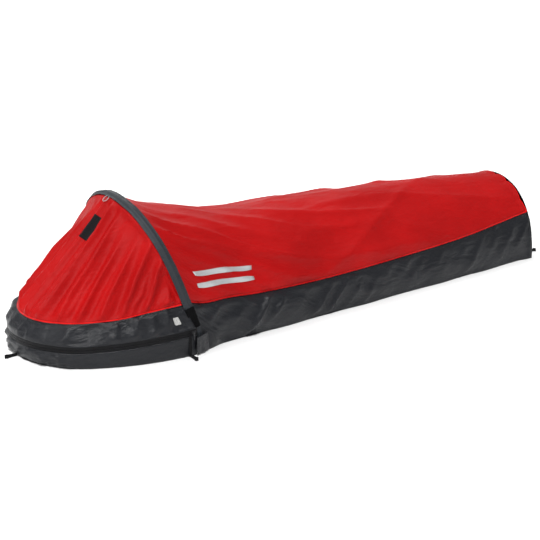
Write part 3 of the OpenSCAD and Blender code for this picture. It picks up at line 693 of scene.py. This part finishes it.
g += 0.009 * on_band * folds(
    T + 0.3 * up_hood, up_hood, 341, 0.062, (-0.12, -0.06), (-0.05, 0.02), 0.02, 0.2, 0.3)
g += (0.011 * crumple(T, up_hood * 1.2, 351, 0.11, 4) - 0.004) * on_band
g += 0.004 * (1 - (2 * np.clip(-up_hood / 0.085, 0, 1) - 1) ** 2) * on_band * np.sin(math.pi * t)
g -= 0.0020 * np.exp(-((up_hood + 0.004) / 0.005) ** 2)
g -= HOOD_SAG * np.sin(math.pi * share_up) * np.sqrt(np.sin(math.pi * t)) * (up_hood > 0)
g -= 0.009 * on_red
clear = 1 - ramp(share_up, 0.93, 1.0)
low_edge = ramp(up_hood - up_hood[:, :1], 0.0, 0.015)
ends = ramp(t, 0, 0.02) * (1 - ramp(t, 0.98, 1))
out_of_hood = -normals(hood)
if (out_of_hood[NT // 2, BAND_ROWS + 10] * np.array([-1, 0, 0.5])).sum() < 0:
    out_of_hood = -out_of_hood
hood = hood + out_of_hood * (g * clear * low_edge * ends)[..., None]
hood_uv = np.stack([T, up_hood + 0.2], -1)
FOLD_X, FOLD_Z, FOLD_REACH = -0.62, 0.25, 0.44        # where and over what distance from the hoop the hood turns over; the pieces given FOLD are only baked in place here
FOLD = ("shell", "hood", (FOLD_X, 0, FOLD_Z),
        (FOLD_X - FOLD_REACH * math.sin(HOOP_ANGLE), 0, FOLD_Z - FOLD_REACH * math.cos(HOOP_ANGLE)))
cloth_piece("hood_panel_cloth", hood[:, BAND_ROWS:], RED, blend=FOLD,
            replaces=["hood_panel"], uv=hood_uv[:, BAND_ROWS:],
            edge=np.abs(up_hood[:, BAND_ROWS:]))
cloth_piece("hood_band_cloth", hood[:, :BAND_ROWS + 1], CHARCOAL, blend=FOLD,
            replaces=["hood_band"], uv=hood_uv[:, :BAND_ROWS + 1],
            edge=np.abs(up_hood[:, :BAND_ROWS + 1]))

# ---------------------------------------------------------------- head wall and floor
def zip_pt(t, o, lift):
    up, out = zip_wave(t)
    p, q = arch_pt(arch_q(0.004 + 0.992 * t, ZIP_ARCH), ZIP_ARCH, o + out)
    return on_plane(PIVOT_X, ZIP_HEIGHT, -ZIP_SLOPE, q, -p, lift + up)


rows = np.linspace(0, 1, 15)[None, :, None]
top_edge = zip_pt(t[:, 0], 0.0, -TAPE - 0.0003)[:, None]
foot_edge = zip_pt(t[:, 0], -0.004, 0.0)[:, None] * np.array([1, 1, 0]) + np.array([0, 0, 0.0006])
wall = foot_edge * (1 - rows) + top_edge * rows
wt, wr = t * 1.3, rows[..., 0]
w = 0.010 * crumple(wt + 0 * wr, 0.1 * wr + 0 * wt, 401, 0.09, 4)
w += 0.007 * folds(wt + 0.05 * wr, wr + 0 * wt, 411, 0.055, (-0.2, 0.2), (0.4, 1.1), 0.15, 0.16)
w += 0.004 * np.sin(math.pi * wr)
w *= ramp(wr, 0, 0.25) * (1 - ramp(wr, 0.8, 1.0)) * ramp(t, 0, 0.02) * (1 - ramp(t, 0.98, 1))
w = np.minimum(w, 0.0015 + 0.02 * ramp(t, 0.30, 0.36) * (1 - ramp(t, 0.64, 0.70)))
outn = normals(wall)
if outn[NT // 2, 7, 0] > 0:
    outn = -outn
wall = wall + outn * w[..., None]
cloth_piece("head_wall_cloth", wall, CHARCOAL, "shell",
            replaces=["tub_wall_head"], outward=(-0.7, 0, 0.04))


def floor_edge(x):
    """Half width of the floor at x."""
    q = np.linspace(0, math.pi / 2, 200)
    p, a = arch_pt(q, ZIP_ARCH)
    nose_x, nose_y = PIVOT_X - a[::-1], p[::-1]
    out = np.where(x < PIVOT_X, np.interp(x, nose_x, nose_y),
                   body_value(np.clip(x, BODY_START, FOOT_SEAM_X), 1))
    return out * np.maximum(0, 1 - (np.maximum(0, x - FOOT_SEAM_X) / FOOT_BULGE) ** 2) ** 0.25


fx = np.linspace(0, 1, 130)
fx = HEAD_X + 0.004 + (FOOT_SEAM_X + FOOT_BULGE - 0.006 - HEAD_X) * (0.5 - 0.5 * np.cos(math.pi * fx))
fw = np.linspace(-1, 1, 41)
floor_grid = np.stack([np.repeat(fx[:, None], 41, 1), (floor_edge(fx) - 0.012)[:, None] * fw[None],
                       np.full((130, 41), 0.0006)], -1)
floor_grid[..., 2] += 0.0012 * (1 + noise(floor_grid[..., 0] / 0.05, floor_grid[..., 1] / 0.05, 421))
cloth_piece("floor_cloth", floor_grid, CHARCOAL, "shell",
            replaces=["floor"], outward=(0, 0, 1), thick=0.0006)

# ---------------------------------------------------------------- sleeve and pockets
def hoop_pt(q, out, across):
    p, a = arch_pt(q, HOOP_ARCH, out)
    return on_plane(HOOP_X, 0, HOOP_ANGLE, a, -p, across)


def hoop_turn(rise):
    return math.asin(rise / float(leg(*HOOP_ARCH)[0]))


def sleeve_piece(name, q0, q1, count, seed, node):
    q = np.linspace(q0, q1, count)[:, None]
    w = np.linspace(-1, 1, 19)[None]
    ridge = 0.0022 + 0.0060 * np.exp(-(w / 0.42) ** 2)
    ripple = 0.0007 * noise(q * 26 + 0 * w, w * 1.5 + 0 * q, seed) * (0.3 + np.abs(w))
    lean = 0.0012 * noise(q * 7, 0 * q, seed + 1)
    grid = hoop_pt(q, ridge + ripple, 0.0022 + w * 0.0165 + lean)
    return cloth_piece(name, grid, SLEEVE, "shell",
                       replaces=[node], outward=(-0.6, 0, 0.1), thick=0.0009)


q_pocket, q_sleeve = hoop_turn(0.012), hoop_turn(0.152)
sleeve_piece("pole_sleeve_cloth", q_sleeve, math.pi - q_sleeve, 260, 501, "pole_sleeve")
sleeve_piece("pole_pocket_left_cloth", q_pocket, q_sleeve, 30, 511, "pole_pocket_left")
sleeve_piece("pole_pocket_right_cloth", math.pi - q_sleeve, math.pi - q_pocket, 30, 521, "pole_pocket_right")

# ---------------------------------------------------------------- zips
def zip_strip(name, point, low, high, out, body=None, blend=None, node=None):
    """One side of a zip: a woven tape between two lifts from the zip's middle line."""
    rows = np.linspace(low, high, 5)
    grid = np.stack([point(t[:, 0], out, r) for r in rows], 1)
    cloth_piece(name, grid, TAPE_CLOTH, body, blend,
                outward=(-0.7, 0, 0.08), thick=0.001, replaces=[node])


def coil_piece(name, point, lift, body=None, blend=None, node=None):
    """The zip's teeth: one continuous coil behind the tape."""
    turns, around = 900, 5
    tt = np.linspace(0.004, 0.996, turns)
    ring = np.linspace(0, 2 * math.pi, around, endpoint=False)
    wave = 0.0005 * np.cos(np.arange(turns) * 2.1)
    grid = np.stack([point(tt, -0.0024 + 0.0010 * math.cos(a), lift + 0.0010 * math.sin(a) + wave)
                     for a in ring], 1)
    obj = grid_mesh(name, grid, closed=True)
    obj.data.materials.append(COIL)
    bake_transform(obj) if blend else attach(obj, body)
    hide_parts(node)


zip_strip("zip_tape_lower_cloth", zip_pt, -TAPE, -0.0005, 0.0, "shell", None, "zip_tape_lower")
zip_strip("zip_tape_upper_cloth", zip_pt, 0.0005, TAPE, 0.0, None, FOLD, "zip_tape_upper")
coil_piece("zip_coil_lower_teeth", zip_pt, -0.0017, "shell", None, "zip_coil_lower")
coil_piece("zip_coil_upper_teeth", zip_pt, 0.0017, None, FOLD, "zip_coil_upper")

# Insect screen
SCREEN_Z = ZIP_HEIGHT - 0.03
SCREEN_X = HOOP_X - SCREEN_Z * HOOP_LEAN / HOOP_HEIGHT - 0.024
SCREEN_ARCH = (0.322, (SCREEN_X - HEAD_X) / math.cos(ZIP_SLOPE) - 0.016, 0.264)


def screen_pt(t, o, lift):
    p, q = arch_pt(arch_q(0.006 + 0.988 * t, SCREEN_ARCH), SCREEN_ARCH, o)
    return on_plane(SCREEN_X, SCREEN_Z, -ZIP_SLOPE, q, -p, lift)


low = arch_low(0.07, HOOP_ARCH)
p_, q_ = arch_pt(arch_q(low + (1 - 2 * low) * t[:, 0], HOOP_ARCH), HOOP_ARCH, -0.016)
screen_top = on_plane(HOOP_X, 0, HOOP_ANGLE, q_, -p_, -PANEL_EDGE - 0.003)[:, None]
s_ = np.linspace(0, 1, 40)[None, :, None]
screen = screen_pt(t[:, 0], 0.0, 0.0085)[:, None] * (1 - s_) + screen_top * s_
sag = 0.034 * np.sin(math.pi * s_[..., 0]) ** 0.7 * (0.7 + 0.3 * noise(t * 14, s_[..., 0] * 3, 601))
sn = normals(screen)
sn = sn * np.sign((sn * (screen - np.array([-0.7, 0, 0.1]))).sum(-1, keepdims=True))
sag = sag + 0.002 * noise(t * 40, s_[..., 0] * 5, 603) * np.sin(math.pi * s_[..., 0])
screen = screen - sn * sag[..., None]
SCREEN_FOLD = ("shell", "screen", FOLD[2], FOLD[3])
cloth_piece("insect_screen_mesh", screen, MESH, blend=SCREEN_FOLD,
            replaces=["insect_screen"], outward=(-0.7, 0, 0.1), thick=0)
zip_strip("screen_tape_lower_cloth", screen_pt, -0.008, -0.0005, 0.0, "shell", None, "screen_tape_lower")
zip_strip("screen_tape_upper_cloth", screen_pt, 0.0005, 0.008, 0.0, None, SCREEN_FOLD, "screen_tape_upper")

# ---------------------------------------------------------------- pole foot: flaps and tabs
def mirror(P):
    return P * np.array([1, -1, 1])


def flap_grid():
    """The flap over a pole's foot: sewn along its rear edge, round at its lower front corner."""
    rear, front = np.array([-0.519, -0.3262]), np.array([-0.578, -0.3475])
    u, v = np.linspace(0, 1, 26)[:, None], np.linspace(0, 1, 28)[None]
    radius = 0.018 / 0.061
    drop = np.where(u > 1 - radius, radius - np.sqrt(np.maximum(0, radius**2 - (u - 1 + radius) ** 2)), 0)
    low, high = 0.0075 + 0.055 * drop, 0.070 - 0.003 * u
    z = low + (high - low) * v
    xy = rear + (front - rear) * u[..., None] + 0 * v[..., None]
    out = np.array([-0.34, -0.94]) * (0.0035 * np.sin(math.pi * u * 0.8) + 0.0016 * noise(u * 5, v * 4, 701)
                                     * ramp(u, 0, 0.2))[..., None]
    return np.concatenate([xy + out, z[..., None]], -1)


for tag, flip in (("right", lambda P: P), ("left", mirror)):
    cloth_piece(f"pole_flap_{tag}_cloth", flip(flap_grid()), CHARCOAL,
                f"flap_{tag}", replaces=[f"pole_flap_{tag}"], outward=(0, 0, 0.05),
                thick=0.0016)
    q = np.linspace(math.pi - hoop_turn(0.168), math.pi - hoop_turn(0.096), 24)[:, None]
    w = np.linspace(-0.0145, 0.0180, 11)[None]
    grid = hoop_pt(q, 0.0094 + 0.0004 * noise(q * 90, w * 200, 711), w + 0 * q)
    cloth_piece(f"zip_tab_{tag}_pile", flip(grid), PILE, f"tab_{tag}",
                replaces=[f"zip_tab_{tag}"], outward=(-0.6, 0, 0.1), thick=0.0018)

# ---------------------------------------------------------------- webbing
def ribbon(name, line, width, node, thick=0.0014, up=(0, 0, 1)):
    """A flat ribbon along a line of points, width measured along up."""
    line = np.array(line, float)
    w = np.linspace(0, 1, 4)[None, :, None]
    grid = line[:, None] + np.array(up)[None, None] * width * w
    cloth_piece(name, grid, WEBBING, "shell",
                outward=tuple(line.mean(0)), thick=thick, replaces=[node])


def eye_line(tip, root, radius=0.0066, spread=0.0016):
    """Line of a stake loop seen from above: out from the shell, round the eye and back."""
    tip, root = np.array(tip), np.array(root)
    d = (tip - root) / np.linalg.norm(tip - root)
    n = np.array([-d[1], d[0]])
    a = np.linspace(-2.55, 2.55, 40)
    round_eye = tip + radius * (np.cos(a)[:, None] * d + np.sin(a)[:, None] * n)
    one = root - spread * n + (round_eye[0] - root + spread * n) * np.linspace(0, 1, 14)[:-1, None]
    two = round_eye[-1] + (root + spread * n - round_eye[-1]) * np.linspace(0, 1, 14)[1:, None]
    return np.vstack([one, round_eye, two])


def loop_piece(name, tip, root, node):
    xy = eye_line(tip, root)
    wobble = 0.0006 * noise(np.linspace(0, 9, len(xy)), np.zeros(len(xy)), 801)
    ribbon(name, np.column_stack([xy, 0.0012 + wobble]), 0.0096, node)


EYE = 0.0372                    # from a loop's root to the middle of its eye
STRAP_X, STRAP_Y = -0.598, 0.3378
loop_piece("stake_loop_head_web", (HEAD_X - EYE, 0), (HEAD_X + 0.001, 0), "stake_loop_head")
for tag, sign in (("right", -1), ("left", 1)):
    loop_piece(f"stake_loop_foot_{tag}_web", (FOOT_X + EYE, sign * 0.19), (FOOT_X - 0.014, sign * 0.19),
               f"stake_loop_foot_{tag}")
    loop_piece(f"stake_strap_{tag}_web", (STRAP_X, sign * (STRAP_Y + EYE)), (STRAP_X, sign * STRAP_Y),
               f"stake_strap_{tag}")
    z = np.linspace(0.001, 0.0725, 16)
    bow = 0.0008 * np.sin(np.linspace(0, 7, 16))
    riser = np.column_stack([np.full(16, STRAP_X - 0.005), sign * (STRAP_Y + 0.0006 + bow), z])
    ribbon(f"stake_strap_{tag}_riser", riser, 0.010, f"stake_riser_{tag}", up=(1, 0, 0))

for k, (where, tag) in enumerate(((-0.330, "shoulder"), (0.120, "hip"), (0.560, "knee"))):
    half = float(body_value(np.array([where]), 1)[0]) - 0.0125
    yy = np.concatenate([np.full(8, -half), np.linspace(-half, half, 60)[1:-1], np.full(8, half)])
    zz = np.concatenate([np.linspace(0.003, 0.021, 8), np.full(58, 0.0213), np.linspace(0.021, 0.003, 8)])
    zz = zz + 0.0012 * noise(yy * 18, 0 * yy, 811 + k) * (zz > 0.02)
    ribbon(f"pad_strap_{tag}_web", np.column_stack([np.full(len(yy), where - 0.0125), yy, zz]), 0.025,
           f"pad_strap_{tag}", up=(1, 0, 0), thick=0.0012)

px = np.linspace(-0.44, -0.29, 24)[:, None]
pf = np.linspace(0.95, 0.82, 20)[None]
pocket = body_pt(px + 0 * pf, pf + 0 * px, -0.004)
slack = 0.006 * np.outer(np.sin(math.pi * np.linspace(0, 1, 24)), np.sin(math.pi * np.linspace(0, 1, 20)))
pocket = pocket - slack[..., None] * np.array([0, 0.97, 0.2])
cloth_piece("inner_pocket_mesh", pocket, MESH, "shell",
            replaces=["inner_pocket"], outward=(0, 0, 0.15), thick=0)

# ---------------------------------------------------------------- patches on the cloth
def patch(name, P, u0, u1, v0, v1, lift, material, slot, node, body=None, blend=None, corner=0.25):
    """A thin patch with round corners that follows a cloth grid."""
    a = np.linspace(-1, 1, 22)
    aa, bb = np.meshgrid(a, a, indexing="ij")
    bb = bb * (1 - corner * np.maximum(0, (np.abs(aa) - 0.7) / 0.3) ** 2)
    u, v = u0 + (u1 - u0) * (aa + 1) / 2, v0 + (v1 - v0) * (bb + 1) / 2
    centre = sample(P, u, v)
    n = normals(centre)
    away = centre.mean((0, 1)) - np.array([-0.5, 0, 0.12])
    if (n * away).sum() < 0:
        n = -n
    cloth_piece(name, centre + n * lift, material, body, blend,
                outward=(-0.5, 0, 0.12), thick=0.0005, replaces=[node])


top = body[:, T0:T1 + 1]
red_hood, band = hood[:, BAND_ROWS:], hood[:, :BAND_ROWS + 1]
BAR_X, BAR_HEIGHT, SEAM_SHARE = (-0.478, -0.278), 0.016, 0.135
for k, low_f in enumerate((0.178, 0.212)):
    at = [np.interp(x, body_x, np.arange(NX)) / (NX - 1) for x in BAR_X]
    f0, f1 = ((low_f + d - SEAM_SHARE) / (1 - 2 * SEAM_SHARE) for d in (0, BAR_HEIGHT))
    patch(f"reflective_bar_{k + 1}", top, *at, f0, f1, 0.0012, REFLECT, "reflective", "reflective_patch", "shell")
patch("hood_patch_cloth", red_hood, 0.448, 0.522, 0.66, 0.85, 0.0014, DARK_PATCH, "dark_patch",
      "hood_patch", blend=FOLD)
patch("band_label_cloth", band, 0.030, 0.048, 0.30, 0.60, 0.0014, LABEL, "label", "band_label", blend=FOLD)

# ---------------------------------------------------------------- guy loop at the hoop's top
def tube(name, line, radius, material, body, node, sides=10):
    line = np.array(line, float)
    d = np.gradient(line, axis=0)
    d /= np.linalg.norm(d, axis=1, keepdims=True)
    ref = np.tile(np.array([0.1, 0.2, 1.0]), (len(line), 1))
    n1 = np.cross(d, ref)
    n1 /= np.linalg.norm(n1, axis=1, keepdims=True)
    n2 = np.cross(d, n1)
    a = np.linspace(0, 2 * math.pi, sides, endpoint=False)
    ring = np.cos(a)[None, :, None] * n1[:, None] + np.sin(a)[None, :, None] * n2[:, None]
    grid = line[:, None] + radius * ring
    length = np.concatenate([[0], np.cumsum(np.linalg.norm(np.diff(line, axis=0), axis=1))])
    uv = np.stack([np.repeat(length[:, None], sides, 1), np.repeat((a * radius)[None], len(line), 0)], -1)
    obj = grid_mesh(name, grid, uv, closed=True)
    obj.data.materials.append(material)
    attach(obj, body)
    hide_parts(node)
    return obj, float(length[-1])


a = np.linspace(-0.5 * math.pi - 1.1, 0.5 * math.pi + 1.1, 48)
loop_out = np.stack([0.0125 * np.cos(a) + 0.012, 0.0115 * np.sin(a)], 1)
apex = on_plane(HOOP_X, 0, HOOP_ANGLE, HOOP_RISE + 0.0045, 0.0, -0.0135)
forward = np.array([-0.80, 0, -0.60])
line = np.array([apex + forward * p + np.array([0, 1, 0]) * w for p, w in loop_out])
CORD_DIAMETER = 0.0028
loop_obj, loop_length = tube("guy_loop_cord", line, CORD_DIAMETER / 2, CORD, "shell", "guy_loop")

# ---------------------------------------------------------------- carried-over hard parts
for names, material in (
        (("slider_right", "slider_left", "screen_slider"), SLIDER),
        (("pull_right_outer", "pull_right_inner", "pull_left_outer", "pull_left_inner", "screen_pull"), PULL),
        (("pole_section_1", "pole_section_2", "pole_section_3", "pole_section_4"), ACETAL),
        (("pole_ferrules",), METAL), (("pole_tips",), TIP), (("shock_cord",), ELASTIC)):
    for n in names:
        nodes[n].data.materials.clear()
        nodes[n].data.materials.append(material)

# ---------------------------------------------------------------- floor and light
FLOOR_HALF = 30


def stage_floor():
    mat, nt, shader = new_material("studio_floor", (0.93, 0.93, 0.93), 0.85, Specular_IOR_Level=0.1)
    where = nt.nodes.new("ShaderNodeTexCoord")
    bump(nt, shader, [(noise_tex(nt, where.outputs["Object"], 3, 3), 0.001, 0.05)])
    side = np.linspace(-FLOOR_HALF, FLOOR_HALF, 4)
    P = np.stack([*np.meshgrid(side, side, indexing="ij"), np.zeros((4, 4))], -1)
    obj = grid_mesh("studio_floor", P, outward=(0, 0, -5))
    obj.data.materials.append(mat)


stage_floor()


def area_light(name, place, target, size, power):
    light = bpy.data.lights.new(name, "AREA")
    light.shape = "RECTANGLE"
    light.size, light.size_y = size
    light.energy = power
    obj = bpy.data.objects.new(name, light)
    obj.location = place
    obj.rotation_mode = "QUATERNION"
    obj.rotation_quaternion = (Vector(target) - Vector(place)).to_track_quat("-Z", "Y")
    bpy.context.scene.collection.objects.link(obj)


def sun(name, toward, power, spread):
    light = bpy.data.lights.new(name, "SUN")
    light.energy = power
    light.angle = math.radians(spread)
    obj = bpy.data.objects.new(name, light)
    obj.rotation_mode = "QUATERNION"
    obj.rotation_quaternion = Vector(toward).to_track_quat("-Z", "Y")
    bpy.context.scene.collection.objects.link(obj)


sun("key", (0.26, 0.42, -1.0), 2.6, 9)
sun("back", (0.05, -0.55, -1.0), 1.15, 35)
area_light("strip_left", (-2.6, -0.6, 1.5), (-0.7, 0, 0.2), (1.2, 1.2), 14)
area_light("strip_back", (0.3, 2.2, 1.6), (0.2, 0, 0.3), (3.0, 0.5), 22)
world = bpy.data.worlds.new("studio")
bpy.context.scene.world = world
world.use_nodes = True
world.node_tree.nodes["Background"].inputs[0].default_value = (1, 1, 1, 1)
world.node_tree.nodes["Background"].inputs[1].default_value = 0.27

for row in SHEETS:
    print("sheet", *row)
